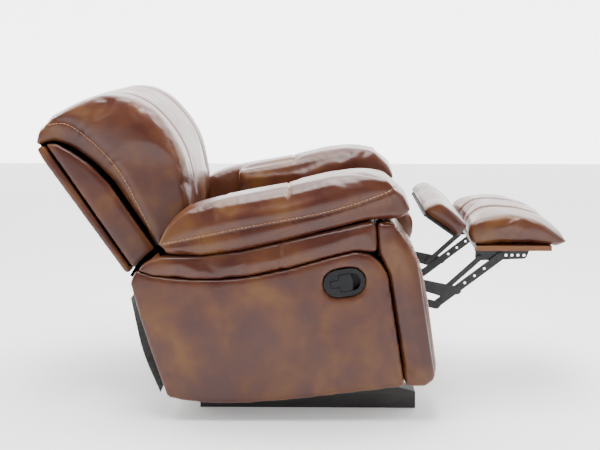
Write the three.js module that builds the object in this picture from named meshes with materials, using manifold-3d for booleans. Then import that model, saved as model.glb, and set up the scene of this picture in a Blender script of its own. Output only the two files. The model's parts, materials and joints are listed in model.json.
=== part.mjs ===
// A leather rocker recliner with its back reclined and its footrest out, as separate pieces.
// Millimetres. +Z is up, the chair faces -Y, and the sitter's right-hand side is -X.
//
// Side-view sizes are written [forward, up] in the chair's level frame: the chair as it stands
// when it is rocked neither way, with 0 forward over the floor datum and 0 up on the floor.
// Half-width sizes are distances from the chair's middle plane.
import * as THREE from 'three';
import { mergeVertices } from 'three/addons/utils/BufferGeometryUtils.js';
import Module from 'manifold-3d';

const wasm = await Module();
wasm.setup();
const { degToRad } = THREE.MathUtils;

// ---- Driving dimensions ----

// Widths
const WIDTH = 950;                 // over both arms
const ARM_WIDTH = 219.5;           // one arm, inside face to outside face
const SIDE_PANEL_THICKNESS = 31.5;
const ARM_BAND_WIDTH = 139.5;      // padded roll under the arm pad
const BOARD = 18;                  // wooden boards of the arm frames
const BACK_WIDTH = 654;            // over the upholstered back

// Lengths and heights, level frame
const BODY_REAR = -494;            // rear edge of the side panels at its widest
const PANEL_FRONT = 254;           // front edge of the side panels at the bottom
const FRONT_PAD_DEPTH = 90;        // front arm pad, from the side panel's edge forward
const BODY_BOTTOM = 72;            // lowest leather above the floor
const BELT = 437;                  // lowest point of the seam along the top of the side panel
const ARM_TOP = 695;               // highest point of the arm pad
const SEAT_TOP = 558;              // highest point of the seat cushion
const SEAT_UNDERSIDE = 425;
const SEAT_FRONT = 343;
const SEAT_REAR = -345;

// Base and rocker
const RAIL_HEIGHT = 68;
const RAIL_REAR = -350;
const RAIL_FRONT = 292;
const RAIL_WIDTH = 64;
const RAIL_SLOPE_DROP = 16;        // at its ends; the front arm pad comes down over the front one
const CROSS_RAIL_HEIGHT = 34;
const CROSS_RAIL_DEPTH = 40;
const CROSS_RAIL_BOTTOM = 14;
const ROCK_FORWARD = -30;          // where the cams touch the rails, forward of the datum
const ROCK_ANGLE = 5;              // how far the chair is rocked back at rest
const CAM_RADIUS = 700;
const CAM_HALF_LENGTH = 220;
const CAM_THICKNESS = 28;
const CAM_TO_FRAME = 25;           // cam's inner face, out from the arm frame's
const CAM_ON_RAIL = 32;            // cam's inner face, out from the runner's

// Back, in its own upright frame with the recline pivot as origin
const RECLINE_PIVOT = [-420, 420];
const RECLINE_ANGLE = 29;          // lean of the back at rest, from the level frame's vertical
const BACK_HEIGHT = 530;           // pivot to the top of the upholstered frame
const BACK_REAR = -90;             // rear face of the back, behind the pivot
const BACK_BOTTOM = 80;            // bottom of the wide part of the back, above the pivot
const BACK_CUSHION_FRONT = 264;    // fullest point of the back cushion
const STILE_WIDTH = 40;
const BACK_FRAME_DEPTH = 40;
const BORDER = 20;                 // padded band around the back's frame
const BACK_FRAME_INSET = 22;       // frame's side, inside the upholstery's
const BACK_FRAME_SETBACK = 32;     // frame's rear, ahead of the back's rear face
const BACK_RAIL_BOTTOM = 95;
const BACK_FOOT_WIDTH = 37;        // the posts' feet, between the arms
const BACK_FOOT_TO_PLATE = 15;     // room for the bracket and its pivot

// Footrest linkage pivots with the footrest out, level frame
const LOWER_PIVOT = [185.5, 320.5];     // lower link on the seat rail
const UPPER_PIVOT = [254.8, 352];       // upper link on the seat rail
const LOWER_TIP = [377.8, 256.9];       // lower link to diagonal link
const CROSSING = [444.3, 294.9];        // upper link to diagonal link
const SHORT_ROOT = [395.6, 293.4];      // upper link to short link
const FRONT_PIVOT = [580.6, 387.2];     // diagonal link to footrest bracket
const REAR_PIVOT = [519.5, 389];        // short link to footrest bracket
const FOOTREST_ORIGIN = [497, 417];     // rear lower corner of the footrest pad
const FOOTREST_SLOPE = 5;               // keeps the rocked-back footrest horizontal
const FOOTREST_LENGTH = 298;
const FOOTREST_THICKNESS = 84;
const FOOTREST_TO_ARM = 6.5;            // on each side, as it folds in between the arms
const MID_PIVOT = [352, 543];           // seam that carries the middle pad
const MID_ANGLE = 50;                   // lift of the middle pad from hanging, at rest
const MID_LENGTH = 138;
const MID_THICKNESS = 52;

// Steel plates on each side, stacked inward from the arm; the gaps hold pins' heads
const STEEL = 3;
const PLATE_TO_ARM = 2.5;
const RAIL_TO_PLATE = 3;
const LINK_TO_RAIL = 2;
const LINK_TO_LINK = 3;
const BRACKET_TO_LINK = 3.5;
const LINK_HALF_WIDTH = 12;
const SHORT_LINK_HALF_WIDTH = 8;   // the short link folds in close beside the diagonal one
const PIN_RADIUS = 4;
const DRIVE_TUBE_SIZE = 14;        // square tube that ties the two lower links
const DRIVE_TUBE_PLACE = 0.14;     // share of the lower link from its pivot, clear of the upper one
const RECLINE_PIN_RADIUS = 6;
const RIVET_HEAD = 1.2;            // height of a rivet's head
const HEAD_GAP = 0.3;              // between a head and the plate it holds
const BOARD_PLY = 15;              // footrest board
const BOARD_TOP = 12;              // its top face, above the pad's rear lower corner

// Handle
const CUP_CENTRE = [105, 400];
const CUP_LENGTH = 119;
const CUP_HEIGHT = 78;
const CUP_TILT = 4.5;
const CUP_BEHIND = 2.5;            // panel thickness left behind the cup
const CUP_WALL = 2.5;
const CUP_FACE = 3;                // face plate around the paddle
const PADDLE_THICKNESS = 3;
const PADDLE_STEM = 19;            // heights of the T's stem and head
const PADDLE_HEAD = 48;
const PADDLE_REAR = -38;           // along the cup from its centre
const PADDLE_NECK = -14;
const PADDLE_FRONT = 26;
const PADDLE_GAP = 1.5;
const RECESS_FRONT = 49;
const CABLE_RADIUS = 3;
const CABLE_HOLE = 7;
const CABLE_ENTRY = [62, 398];     // through the arm frame's outer board
const CABLE_EXIT = [-330, 345];    // through its inner board

const SPRING_WIRE = 1.8;

// Clearances
const GAP = 0.5;                   // between pieces that are fastened together
const SOFT_GAP = 1;                // between pads that are sewn side by side
const MOVING_GAP = 4;              // beside the seat, which slides
const PIN_CLEARANCE = 0.4;         // around a pin
const CAM_CLEARANCE = 0.4;         // least gap under a cam over the whole rock

// ---- Sizes worked out from those ----

const OUTER = WIDTH / 2;
const INNER = OUTER - ARM_WIDTH;                    // inside face of the arm's soft parts
const PANEL_INNER = OUTER - SIDE_PANEL_THICKNESS;
const FRAME_OUTER = PANEL_INNER - 2 * SOFT_GAP;
const FRAME_INNER = INNER + 27.5;
const BAND_INNER = OUTER - ARM_BAND_WIDTH;
const CUP_DEPTH = SIDE_PANEL_THICKNESS - CUP_BEHIND;
const CAM_INNER = FRAME_INNER + CAM_TO_FRAME;
const RAIL_INNER = CAM_INNER - CAM_ON_RAIL;
// Half-widths to each steel plate's inner face
const MECHANISM_LAYER = INNER - PLATE_TO_ARM - STEEL;
const SEAT_RAIL_LAYER = MECHANISM_LAYER - RAIL_TO_PLATE - STEEL;
const LOWER_LAYER = SEAT_RAIL_LAYER - LINK_TO_RAIL - STEEL;
const UPPER_LAYER = LOWER_LAYER - LINK_TO_LINK - STEEL;
const DIAGONAL_LAYER = UPPER_LAYER - LINK_TO_LINK - STEEL;
const BRACKET_LAYER = DIAGONAL_LAYER - BRACKET_TO_LINK - STEEL;
const FOOTREST_WIDTH = 2 * (INNER - FOOTREST_TO_ARM);
const BACK_FOOT_OUTER = MECHANISM_LAYER - BACK_FOOT_TO_PLATE;
const BACK_FOOT_INNER = BACK_FOOT_OUTER - BACK_FOOT_WIDTH;
const SEAT_HALF_WIDTH = INNER - MOVING_GAP - 1.5;
const BACK_HALF_WIDTH = BACK_WIDTH / 2;
const FRONT_PAD_FRONT = PANEL_FRONT + FRONT_PAD_DEPTH;
const ARM_PAD_UNDERSIDE = ARM_TOP - 126;            // at the front, where it is thickest
const BAND_TOP = BELT + 72;                         // at its lowest
const INNER_PAD_REAR = -222;                        // arm pads leave room for the back behind this
const FRAME_BOTTOM = BODY_BOTTOM + 38;
const BACK_FRAME_TOP = BACK_HEIGHT - 104;
const BORDER_BOTTOM = BACK_BOTTOM + 5;              // the side bands end above the posts' feet
const BACK_FRAME_REACH = [         // rear and front faces of the back's frame
  BACK_REAR + BACK_FRAME_SETBACK, BACK_REAR + BACK_FRAME_SETBACK + BACK_FRAME_DEPTH,
];
const ROCK_POINT = [ROCK_FORWARD, RAIL_HEIGHT];
const PADDLE_PIVOT = [
  CUP_CENTRE[0] + (PADDLE_REAR + PADDLE_THICKNESS / 2) * Math.cos(degToRad(CUP_TILT)),
  CUP_CENTRE[1] + (PADDLE_REAR + PADDLE_THICKNESS / 2) * Math.sin(degToRad(CUP_TILT)),
];

// ---- Materials ----

const material = (color, roughness, metalness = 0) =>
  new THREE.MeshStandardMaterial({ color, roughness, metalness });
const leather = material(0x7a4526, 0.4);
const wood = material(0xb08a5a, 0.8);
const blackSteel = material(0x1c1c1e, 0.45, 0.8);
const springSteel = material(0x77787a, 0.4, 0.9);
const blackBase = material(0x1f1e1e, 0.6);
const blackCloth = material(0x141416, 0.95);
const charcoalPlastic = material(0x2b2d30, 0.5);

// ---- Scene graph helpers ----

// A group that turns or slides about [forward, up] of its parent's frame. Its meshes are
// still written in the level frame, unless the group has a frame of its own.
function pivotGroup(parent, [forward, up], angle = 0, ownFrame = false) {
  const [parentForward, parentUp] = parent.userData.datum;
  const group = new THREE.Group();
  group.position.set(0, parentForward - forward, up - parentUp);
  group.rotation.x = degToRad(angle);
  group.userData.datum = ownFrame ? [0, 0] : [forward, up];
  parent.add(group);
  return group;
}

function addPiece(group, name, geometry, pieceMaterial) {
  const mesh = new THREE.Mesh(geometry, pieceMaterial);
  const [forward, up] = group.userData.datum;
  mesh.name = name;
  mesh.position.set(0, forward, -up);
  group.add(mesh);
}

// Builds a mirrored pair: build(side) gets -1 for the right-hand piece and 1 for the left.
function addPair(group, name, build, pieceMaterial) {
  addPiece(group, `${name}_right`, build(-1), pieceMaterial);
  addPiece(group, `${name}_left`, build(1), pieceMaterial);
}

// ---- Geometry helpers ----

// Outline of [forward, up, corner radius] points as a shape. Corners tighter than `tightest`
// stay sharp, because the rounding of the piece's edges takes them up.
function outlineShape(outline, tightest = 0) {
  const points = outline.map(([x, y, radius = 0]) => [x, y, radius > tightest ? radius : 0]);
  const shape = new THREE.Shape();
  const count = points.length;
  const cornerPoint = (index, towards) => {
    const [x, y, radius] = points[index];
    const [otherX, otherY] = points[towards];
    const length = Math.hypot(otherX - x, otherY - y);
    const share = Math.min(radius, 0.48 * length) / length;
    return [x + (otherX - x) * share, y + (otherY - y) * share];
  };
  for (let i = 0; i < count; i++) {
    const [x, y, radius] = points[i];
    const start = cornerPoint(i, (i + count - 1) % count);
    if (i === 0) shape.moveTo(...start);
    else shape.lineTo(...start);
    if (radius > 0) shape.quadraticCurveTo(x, y, ...cornerPoint(i, (i + 1) % count));
  }
  shape.closePath();
  return shape;
}

// Turns geometry drawn in shape axes, extruded along its own Z, to run across the chair.
function runAcross(geometry, highX) {
  const matrix = new THREE.Matrix4();
  matrix.set(0, 0, -1, highX, -1, 0, 0, 0, 0, 1, 0, 0, 0, 0, 0, 1);
  return geometry.applyMatrix4(matrix);
}

// A shape or outline carried across the chair from half-width `from` to `to` on one side,
// or over the middle when side is 0. A soft piece has its edges rounded by `round`.
function across(outline, from, to, side = 0, round = 0) {
  const shape = Array.isArray(outline) ? outlineShape(outline, 2.5 * round) : outline;
  const width = Math.abs(to - from);
  const high = side < 0 ? -Math.min(from, to) : Math.max(from, to);
  const geometry = new THREE.ExtrudeGeometry(shape, {
    depth: width - 2 * round,
    curveSegments: 3,
    steps: 1,
    bevelEnabled: round > 0,
    bevelThickness: round,
    bevelSize: round,
    bevelOffset: -round,
    bevelSegments: 2,
  });
  geometry.translate(0, 0, round);
  return runAcross(geometry, high);
}

function box(from, to, forward, up, side = 0) {
  const outline = [
    [forward[0], up[0]], [forward[1], up[0]], [forward[1], up[1]], [forward[0], up[1]],
  ];
  return across(outline, from, to, side);
}

// A round pin or bore across the chair at [forward, up].
function pin([forward, up], radius, from, to, side, segments = 14) {
  const low = Math.min(side * from, side * to);
  const length = Math.abs(to - from);
  const geometry = new THREE.CylinderGeometry(radius, radius, length, segments);
  geometry.rotateZ(Math.PI / 2);
  geometry.translate(low + length / 2, -forward, up);
  return geometry;
}

// A round rod through [x, forward, up] points.
function rod(points, radius, steps, sides) {
  const path = new THREE.CatmullRomCurve3(
    points.map(([x, forward, up]) => new THREE.Vector3(x, -forward, up)),
  );
  const section = new THREE.Shape();
  for (let i = 0; i < sides; i++) {
    const angle = (2 * Math.PI * i) / sides;
    const corner = [radius * Math.cos(angle), radius * Math.sin(angle)];
    if (i === 0) section.moveTo(...corner);
    else section.lineTo(...corner);
  }
  section.closePath();
  return new THREE.ExtrudeGeometry(section, { extrudePath: path, steps });
}

function toSolid(geometry) {
  const bare = geometry.clone();
  bare.deleteAttribute('normal');
  bare.deleteAttribute('uv');
  const merged = mergeVertices(bare, 1e-4);
  return new wasm.Manifold(new wasm.Mesh({
    numProp: 3,
    vertProperties: merged.attributes.position.array,
    triVerts: new Uint32Array(merged.index.array),
  }));
}

function fromSolid(solid) {
  const mesh = solid.getMesh();
  const geometry = new THREE.BufferGeometry();
  geometry.setAttribute('position', new THREE.BufferAttribute(mesh.vertProperties, 3));
  geometry.setIndex(new THREE.BufferAttribute(mesh.triVerts, 1));
  geometry.computeVertexNormals();
  return geometry;
}

// Joins geometries, then cuts others from the result.
function carve(joined, removed = []) {
  let solid = toSolid(joined[0]);
  for (const geometry of joined.slice(1)) solid = solid.add(toSolid(geometry));
  for (const geometry of removed) solid = solid.subtract(toSolid(geometry));
  return fromSolid(solid);
}

// A strip with round ends from one pivot to another.
function stripShape([fromX, fromY], [toX, toY], halfWidth) {
  const shape = new THREE.Shape();
  const angle = Math.atan2(toY - fromY, toX - fromX);
  shape.absarc(toX, toY, halfWidth, angle - Math.PI / 2, angle + Math.PI / 2);
  shape.absarc(fromX, fromY, halfWidth, angle + Math.PI / 2, angle + 1.5 * Math.PI);
  shape.closePath();
  return shape;
}

// ---- Base: two runners and two cross rails ----

function buildBase(base) {
  const top = RAIL_HEIGHT;
  const runner = [
    [RAIL_REAR, 0], [RAIL_FRONT, 0], [RAIL_FRONT, top - RAIL_SLOPE_DROP, 6],
    [PANEL_FRONT - 34, top, 6], [RAIL_REAR + 30, top, 6], [RAIL_REAR, top - RAIL_SLOPE_DROP, 6],
  ];
  addPair(base, 'base_rail',
    (side) => across(runner, RAIL_INNER, RAIL_INNER + RAIL_WIDTH, side), blackBase);
  const crossRail = (rear) => box(-RAIL_INNER + GAP, RAIL_INNER - GAP,
    [rear, rear + CROSS_RAIL_DEPTH],
    [CROSS_RAIL_BOTTOM, CROSS_RAIL_BOTTOM + CROSS_RAIL_HEIGHT]);
  addPiece(base, 'base_cross_rail_front', crossRail(RAIL_FRONT - 67), blackBase);
  addPiece(base, 'base_cross_rail_rear', crossRail(RAIL_REAR + 30), blackBase);
  addPair(base, 'rocker_spring', (side) => rockerSpring(side), springSteel);
}

// A coil spring that stands on the runner's inner edge and reaches up to the arm frame, which
// leans back over it; its height is worked out where that gap is least, behind the coil.
function rockerSpring(side) {
  const coilRadius = 10;
  const turns = 3;
  const centre = [RAIL_INNER + 16, RAIL_REAR + 140];
  const lean = degToRad(ROCK_ANGLE);
  const behind = centre[1] - coilRadius - SPRING_WIRE - ROCK_FORWARD;
  const gapUnderFrame = behind * Math.sin(lean) + (FRAME_BOTTOM - RAIL_HEIGHT) * Math.cos(lean);
  const height = gapUnderFrame - 2 * SPRING_WIRE - 2 * GAP;
  const stepsPerTurn = 10;
  const points = [];
  for (let i = 0; i <= turns * stepsPerTurn; i++) {
    const angle = (2 * Math.PI * i) / stepsPerTurn;
    points.push([
      side * centre[0] + coilRadius * Math.cos(angle),
      centre[1] + coilRadius * Math.sin(angle),
      RAIL_HEIGHT + SPRING_WIRE + GAP + (height * i) / (turns * stepsPerTurn),
    ]);
  }
  return rod(points, SPRING_WIRE, turns * stepsPerTurn, 5);
}

// ---- Carcass: arms, rear rail, cams, mechanism plates ----

// The seam along the top of the side panel dips at the rear and rises to the front.
const beltLine = [
  [BODY_REAR + 14, BELT + 48], [BODY_REAR + 60, BELT + 27], [BODY_REAR + 166, BELT + 7],
  [BODY_REAR + 242, BELT], [BODY_REAR + 336, BELT + 1], [PANEL_FRONT - 298, BELT + 15],
  [PANEL_FRONT - 183, BELT + 37], [PANEL_FRONT - 112, BELT + 48],
  [PANEL_FRONT - 70, BELT + 39], [PANEL_FRONT - 44, BELT + 13],
];

const raise = (points, amount) => points.map(([forward, up]) => [forward, up + amount]);

function buildCarcass(carcass) {
  addPair(carcass, 'rocker_cam', rockerCam, wood);
  addPair(carcass, 'arm_frame', armFrame, wood);
  addPair(carcass, 'arm_side_panel', sidePanel, leather);
  addPair(carcass, 'arm_inner_panel', innerPanel, leather);
  addPair(carcass, 'arm_band', armBand, leather);
  addPair(carcass, 'arm_pad', armPad, leather);
  addPair(carcass, 'arm_front_pad', frontPad, leather);
  addPiece(carcass, 'rear_cross_rail',
    box(-INNER - 2 + GAP, INNER + 2 - GAP, [-432, -412], [127, 205]), wood);
  addPiece(carcass, 'rear_dust_cover', dustCover(), blackCloth);
  addPair(carcass, 'mechanism_plate', mechanismPlate, blackSteel);
  addPiece(carcass, 'release_cable', releaseCable(), charcoalPlastic);
  addPiece(carcass, 'handle_bezel', handleBezel(), charcoalPlastic);
}

// The cam's underside is an arc that stands just clear of the runner at every rock angle.
function rockerCam(side) {
  const [forward, up] = ROCK_POINT;
  const lift = CAM_CLEARANCE + CAM_RADIUS * (1 - Math.cos(degToRad(ROCK_ANGLE)));
  const outline = [];
  const arcSteps = 16;
  for (let i = 0; i <= arcSteps; i++) {
    const offset = CAM_HALF_LENGTH * ((2 * i) / arcSteps - 1);
    const drop = CAM_RADIUS - Math.sqrt(CAM_RADIUS ** 2 - offset ** 2);
    outline.push([forward + offset, up + lift + drop]);
  }
  outline.push([forward + CAM_HALF_LENGTH, FRAME_BOTTOM - GAP]);
  outline.push([forward - CAM_HALF_LENGTH, FRAME_BOTTOM - GAP]);
  return across(outline, CAM_INNER, CAM_INNER + CAM_THICKNESS, side);
}

// Two boards tied by posts and a top board, with a raised rail under the arm pad's inner edge.
function armFrame(side) {
  const top = BELT - 7;
  const front = PANEL_FRONT - 49;
  const board = [
    [BODY_REAR + 80, FRAME_BOTTOM], [front, FRAME_BOTTOM], [front, top],
    [BODY_REAR + 164, top], [BODY_REAR + 158, top - 30], [BODY_REAR + 30, top - 30],
    [BODY_REAR + 46, 250],
  ];
  const innerBoard = across(board, FRAME_INNER, FRAME_INNER + BOARD, side);
  const outerBoard = across(board, FRAME_OUTER - BOARD, FRAME_OUTER, side);
  const tie = (forward, up) => box(FRAME_INNER, FRAME_OUTER, forward, up, side);
  const joined = [
    innerBoard, outerBoard,
    tie([front - 40, front], [FRAME_BOTTOM, top]),
    tie([BODY_REAR + 82, BODY_REAR + 122], [FRAME_BOTTOM, top - 60]),
    tie([BODY_REAR + 164, front], [top - BOARD, top]),
    box(FRAME_INNER, BAND_INNER - 2 * SOFT_GAP, [INNER_PAD_REAR - 60, front - 45],
      [top - BOARD, BAND_TOP - 4], side),
  ];
  const cableHoles = side < 0 ? [
    pin(CABLE_ENTRY, CABLE_HOLE, FRAME_OUTER - BOARD - 5, FRAME_OUTER + 5, side),
    pin(CABLE_EXIT, CABLE_HOLE, FRAME_INNER - 5, FRAME_INNER + BOARD + 5, side),
  ] : [];
  return carve(joined, cableHoles);
}

function sidePanel(side) {
  const outline = [
    [BODY_REAR + 64, BODY_BOTTOM + 33, 8], [BODY_REAR + 31, 250], [BODY_REAR + 12, 340],
    [BODY_REAR, BELT - 23], [BODY_REAR - 6, BELT + 13, 6],
    ...beltLine,
    [PANEL_FRONT - 24, BELT - 25], [PANEL_FRONT, BODY_BOTTOM + 9, 4],
    [-49, BODY_BOTTOM - 3], [-193, BODY_BOTTOM - 3], [-288, BODY_BOTTOM + 3],
    [-365, BODY_BOTTOM + 15],
  ];
  const panel = across(outline, PANEL_INNER, OUTER, side, 3);
  if (side > 0) return panel;
  return carve([panel], [cupPlug(-GAP, 60, 20)]);
}

function innerPanel(side) {
  const top = BAND_TOP - 3;
  const rear = BODY_REAR + 60;
  const outline = [
    [rear, 125, 10], [PANEL_FRONT - 48, 125, 10], [PANEL_FRONT - 48, top, 10],
    [INNER_PAD_REAR - 60, top, 10], [INNER_PAD_REAR - 100, top - 70, 20], [rear, BELT - 45, 10],
  ];
  const panel = across(outline, INNER + 2, FRAME_INNER - SOFT_GAP, side, 3);
  if (side > 0) return panel;
  return carve([panel], [pin(CABLE_EXIT, CABLE_HOLE, INNER - 5, FRAME_INNER + 5, side)]);
}

// The roll between the side panel's seam and the arm pad.
function armBand(side) {
  const front = PANEL_FRONT - 45;
  const upper = [
    [front - SOFT_GAP, ARM_PAD_UNDERSIDE - 2, 6], [48, BAND_TOP + 36], [-65, BAND_TOP + 19],
    [-179, BAND_TOP + 4], [-293, BAND_TOP - 1], [BODY_REAR + 96, BAND_TOP + 9, 10],
    [BODY_REAR + 50, BAND_TOP + 4, 20],
  ];
  const lower = raise(beltLine.slice(0, -2), SOFT_GAP);
  return across([...lower, [front - SOFT_GAP, BELT + 44, 4], ...upper], BAND_INNER, OUTER,
    side, 6);
}

// The pillow on top of the arm; behind INNER_PAD_REAR its inner half leaves room for the back.
function armPad(side) {
  const top = ARM_TOP;
  const under = ARM_PAD_UNDERSIDE;
  const outline = [
    [-413, top - 143, 8], [-382, top - 95, 12], [-330, top - 57, 20], [-246, top - 43],
    [-33, top - 23], [90, top - 5], [194, top, 20], [252, top - 14, 20],
    [FRONT_PAD_FRONT - 50, top - 62, 14], [FRONT_PAD_FRONT - 32, top - 104, 14],
    [FRONT_PAD_FRONT - 50, under + 6, 8], [184, under, 10], [48, BAND_TOP + 38],
    [-65, BAND_TOP + 21], [-179, BAND_TOP + 6], [-293, BAND_TOP + 1],
    [-391, BAND_TOP + 12, 6],
  ];
  const pad = across(outline, INNER, OUTER, side, 10);
  const room = box(INNER - 20, BAND_INNER, [-600, INNER_PAD_REAR], [0, 900], side);
  return carve([pad], [room]);
}

function frontPad(side) {
  const rear = PANEL_FRONT - 44;
  const front = FRONT_PAD_FRONT;
  const outline = [
    [PANEL_FRONT + 2, BODY_BOTTOM + 6, 6], [front - 30, BODY_BOTTOM + 4, 10],
    [front, BODY_BOTTOM + 26, 16], [front - 12, 330], [front - 27, 440, 20],
    [front - 44, 495, 20], [front - 84, ARM_PAD_UNDERSIDE - 12, 12],
    [rear, ARM_PAD_UNDERSIDE - 5, 6], [rear, BELT + 43], [PANEL_FRONT - 35, BELT + 14],
    [PANEL_FRONT - 22, BELT - 25],
  ];
  return across(outline, INNER, OUTER, side, 8);
}

// A cloth curtain between the back's lower edge and the bottom of the carcass.
function dustCover() {
  const thickness = 4;
  const front = [[-452, FRAME_BOTTOM], [-473, 172], [-489, 240], [-500, 330], [-508, 398]];
  const rear = front.map(([forward, up]) => [forward - thickness, up]).reverse();
  return across([...front, ...rear], -OUTER + 45, OUTER - 45);
}

// The steel side plate that carries the back's pivot and guides the seat rail.
function mechanismPlate(side) {
  const [pivotForward, pivotUp] = RECLINE_PIVOT;
  const outline = [
    [pivotForward - 32, pivotUp - 50, 10], [pivotForward + 20, 322, 10], [120, 322, 10],
    [176, 345, 10], [176, 372, 10], [pivotForward + 60, 385, 10],
    [pivotForward + 30, pivotUp + 24, 14], [pivotForward - 30, pivotUp + 24, 14],
  ];
  const outer = MECHANISM_LAYER + STEEL;
  const spacer = (forward) => pin([forward, 352], 9, outer - 1, INNER + 2 - GAP, side);
  return carve([
    across(outline, MECHANISM_LAYER, outer, side), spacer(-388), spacer(-280), spacer(20),
  ], [
    pin(RECLINE_PIVOT, RECLINE_PIN_RADIUS + PIN_CLEARANCE, MECHANISM_LAYER - 2, outer + 2,
      side),
    ...[-200, -60, 80].map((forward) =>
      pin([forward, 352], 10, MECHANISM_LAYER - 2, outer + 2, side)),
  ]);
}

// The bowden cable from the handle, through the arm frame, to the mechanism plate.
function releaseCable() {
  const [entryForward, entryUp] = CABLE_ENTRY;
  const [exitForward, exitUp] = CABLE_EXIT;
  const points = [
    [-FRAME_OUTER - 1, entryForward, entryUp], [-FRAME_OUTER + 22, entryForward, entryUp],
    [46.5 - FRAME_OUTER, 40, 385], [66.5 - FRAME_OUTER, -60, 335],
    [-FRAME_INNER - 82, -190, 310], [-FRAME_INNER - 67, -285, 325],
    [-FRAME_INNER - BOARD - 16, exitForward + 2, exitUp - 1],
    [-FRAME_INNER - 9, exitForward, exitUp],
    [-MECHANISM_LAYER - STEEL - 2 * GAP, exitForward, exitUp],
  ];
  return rod(points, CABLE_RADIUS, 26, 8);
}

// ---- Handle ----

// Cup outlines are drawn about the cup's own centre and tilted with it.
function cupFrame(geometry) {
  geometry.applyMatrix4(new THREE.Matrix4().makeRotationX(degToRad(-CUP_TILT)));
  return geometry.translate(0, -CUP_CENTRE[0], CUP_CENTRE[1]);
}

// A solid with the cup's rounded outline, from `proud` outside the arm's face to `depth` inside.
function cupPlug(inset, depth, proud = 0) {
  const radius = CUP_HEIGHT / 2 - inset;
  const reach = CUP_LENGTH / 2 - CUP_HEIGHT / 2;
  const shape = stripShape([-reach, 0], [reach, 0], radius);
  return cupFrame(across(shape, OUTER - depth, OUTER + proud, -1));
}

// The paddle's outline, grown all round by `margin`; `front` is its head's front edge.
function paddleOutline(margin, front) {
  const halfStem = PADDLE_STEM / 2 + margin;
  const halfHead = PADDLE_HEAD / 2 + margin;
  const [rear, neck] = [PADDLE_REAR - margin, PADDLE_NECK - margin];
  return [
    [rear, -halfStem, 2], [neck, -halfStem, 3], [neck, -halfHead, 7], [front - 6, -halfHead, 3],
    [front, 0, 20], [front - 6, halfHead, 3], [neck, halfHead, 7], [neck, halfStem, 3],
    [rear, halfStem, 2],
  ];
}

// A rounded cup with a face plate; the face has a slot around the paddle and a finger recess.
function handleBezel() {
  const recess = [
    [PADDLE_NECK + 8, -PADDLE_HEAD / 2 - PADDLE_GAP, 4], [RECESS_FRONT - 12, -25, 12],
    [RECESS_FRONT, 0, 22], [RECESS_FRONT - 12, 25, 12],
    [PADDLE_NECK + 8, PADDLE_HEAD / 2 + PADDLE_GAP, 4],
  ];
  const mouth = (outline) => cupFrame(across(outline, OUTER - 8, OUTER + 5, -1));
  return carve([
    cupPlug(0, CUP_FACE), cupPlug(3, CUP_DEPTH),
  ], [
    cupFrame(across(stripShape([-18, 0], [18, 0], 29), OUTER - CUP_DEPTH + CUP_WALL,
      OUTER - CUP_FACE, -1)),
    mouth(paddleOutline(PADDLE_GAP, PADDLE_FRONT)), mouth(recess),
  ]);
}

// A T-shaped paddle: a narrow stem hinged at the rear and a wide head for the fingers.
function handlePaddle() {
  return cupFrame(across(paddleOutline(0, PADDLE_FRONT), OUTER - PADDLE_THICKNESS, OUTER, -1));
}

// ---- Seat: rails, spring mat, cushion ----

function buildSeat(seat) {
  addPair(seat, 'seat_rail', seatRail, blackSteel);
  const crossTube = (forward, bottom) => box(-SEAT_RAIL_LAYER + GAP, SEAT_RAIL_LAYER - GAP,
    [forward, forward + 26], [bottom, bottom + 22]);
  addPiece(seat, 'seat_front_rail', crossTube(236, SEAT_UNDERSIDE - 33), blackSteel);
  addPiece(seat, 'seat_rear_rail', crossTube(SEAT_REAR - 15, SEAT_UNDERSIDE - 33), blackSteel);
  addPiece(seat, 'seat_spring_mat', seatSprings(), springSteel);
  addPiece(seat, 'seat_cushion', seatCushion(), leather);
}

// A plate with an inward flange at the top and a drop ear for the footrest pivots.
function seatRail(side) {
  const top = SEAT_UNDERSIDE - 10;
  const rear = SEAT_REAR - 30;
  const [lowerForward, lowerUp] = LOWER_PIVOT;
  const [upperForward, upperUp] = UPPER_PIVOT;
  const outline = [
    [rear, top - 38, 8], [lowerForward - 75, top - 45], [lowerForward - 28, lowerUp - 10, 14],
    [lowerForward, lowerUp - 20, 16], [upperForward + 14, upperUp - 22, 14],
    [upperForward + 20, top, 6], [rear, top, 6],
  ];
  const outer = SEAT_RAIL_LAYER + STEEL;
  const boss = (pivot, layer) => [
    pin(pivot, PIN_RADIUS, layer - HEAD_GAP - RIVET_HEAD / 2, SEAT_RAIL_LAYER + 1, side),
    pin(pivot, PIN_RADIUS + 3, layer - HEAD_GAP - RIVET_HEAD, layer - HEAD_GAP, side),
  ];
  return carve([
    across(outline, SEAT_RAIL_LAYER, outer, side),
    box(SEAT_RAIL_LAYER - 30, outer, [rear + 45, 230], [top - STEEL, top], side),
    ...boss(LOWER_PIVOT, LOWER_LAYER), ...boss(UPPER_PIVOT, UPPER_LAYER),
    ...[-250, 60].map((forward) => pin([forward, 378], 8, outer - 1, MECHANISM_LAYER - GAP, side)),
  ]);
}

// Zigzag springs between the cross rails, laced together by two wires.
function seatSprings() {
  const height = SEAT_UNDERSIDE - 5;
  const from = SEAT_REAR - 6;
  const to = 250;
  const waves = 9;
  const zigzag = (x) => {
    const points = [];
    for (let i = 0; i <= 2 * waves; i++) {
      const forward = from + ((to - from) * i) / (2 * waves);
      points.push([x + (i % 2 ? 20 : -20), forward, height]);
    }
    return rod(points, SPRING_WIRE, 4 * waves, 4);
  };
  const lace = (forward) => rod([[-170, forward, height], [0, forward, height],
    [170, forward, height]], SPRING_WIRE, 2, 4);
  return carve([zigzag(-140), zigzag(0), zigzag(140), lace(-160), lace(60)]);
}

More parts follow.
